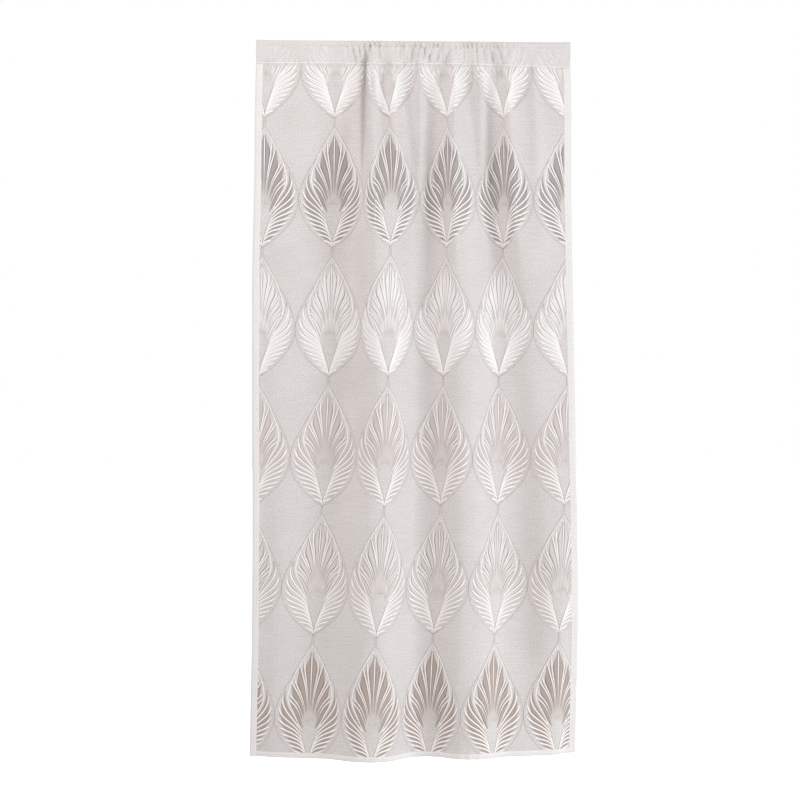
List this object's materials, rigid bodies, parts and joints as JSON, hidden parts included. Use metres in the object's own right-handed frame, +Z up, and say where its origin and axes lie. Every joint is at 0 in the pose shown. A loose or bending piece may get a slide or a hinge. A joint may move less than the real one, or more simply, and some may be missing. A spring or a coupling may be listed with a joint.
{
  "type": "lace door curtain",
  "caption": "Semi-sheer patterned lace door curtain with a rod pocket heading, gathered in the middle and hanging in soft uneven folds.",
  "frame": {"origin": "middle of the curtain's top edge, where the cloth goes over the rod", "axes": "+X along the top edge to the right seen from the room, -Y towards the room, +Z up"},
  "size_m": [0.8312, 0.1221, 1.8005],
  "materials": {
    "lace_cloth": "matt semi-sheer weave with a faint silky sheen",
    "white_cord": "raised white pattern yarn, slightly glossy",
    "taupe_fill": "open dark ground inside the leaves",
    "sewing_thread": "white sewing thread"
  },
  "bodies": {
    "root": {"lace_panel": "lace_cloth", "rod_pocket": "lace_cloth"}
  },
  "joints": []
}
